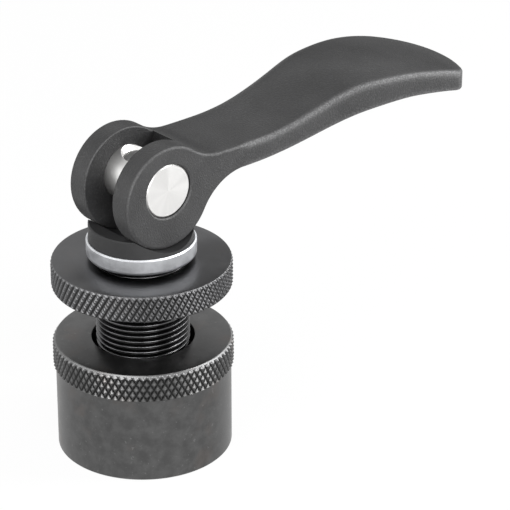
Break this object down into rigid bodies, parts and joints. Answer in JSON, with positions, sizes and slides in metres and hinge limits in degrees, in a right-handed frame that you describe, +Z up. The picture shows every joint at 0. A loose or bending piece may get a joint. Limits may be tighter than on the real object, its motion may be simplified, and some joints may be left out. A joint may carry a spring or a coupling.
{
  "type": "welding table fixture clamp",
  "caption": "Fixture clamp with a forked cam lever on a draw bolt, a threaded sleeve with a knurled nut, and a round knurled base that grip a plate between them.",
  "frame": {"origin": "centre of the base's underside, where the clamp stands", "axes": "+Z up along the draw bolt, +X along the closed lever, Y along the pivot pin"},
  "size_m": [0.1257, 0.0464, 0.0874],
  "materials": {
    "base_steel": "black-oxide turned steel with a knurled band",
    "blackened_steel": "black-oxide turned steel",
    "black_casting": "black satin coat on a die casting",
    "turned_steel": "bright turned",
    "zinc_steel": "zinc-plated",
    "hardened_steel": "ground",
    "bolt_steel": "plain steel",
    "spring_steel": "drawn wire",
    "black_plastic": "matt moulded"
  },
  "bodies": {
    "base": {"base_body": "base_steel", "guide_pin": "hardened_steel", "head_washer": "zinc_steel", "spring_seat": "zinc_steel", "return_spring": "spring_steel"},
    "head": {"draw_bolt": "bolt_steel", "pivot_pin": "turned_steel"},
    "lever": {"cam_lever": "black_casting"},
    "contact": {"contact_washer": "black_plastic"},
    "sleeve": {"threaded_sleeve": "blackened_steel", "thrust_washer": "zinc_steel"},
    "nut": {"adjusting_nut": "blackened_steel"}
  },
  "joints": [
    {"name": "lever_swivel", "type": "hinge", "parent": "base", "child": "head", "pos_m": [0, 0, 0], "axis": [0, 0, 1], "continuous": true},
    {"name": "cam_lever", "type": "hinge", "parent": "head", "child": "lever", "pos_m": [0, 0, 0.0741], "axis": [0, -1, 0], "range_deg": [0, 90]},
    {"name": "contact_lift", "type": "slide", "parent": "head", "child": "contact", "axis": [0, 0, 1], "range_m": [0, 0.00134]},
    {"name": "sleeve_lift", "type": "slide", "parent": "base", "child": "sleeve", "axis": [0, 0, 1], "range_m": [0, 0.00134], "deforming": ["return_spring"]},
    {"name": "nut_travel", "type": "slide", "parent": "sleeve", "child": "nut", "axis": [0, 0, 1], "range_m": [-0.0147, 0.001]}
  ],
  "couplings": [
    {"joint": "contact_lift", "follows": "cam_lever", "m_per_rad": 0.00085},
    {"joint": "sleeve_lift", "follows": "cam_lever", "m_per_rad": 0.00085}
  ]
}
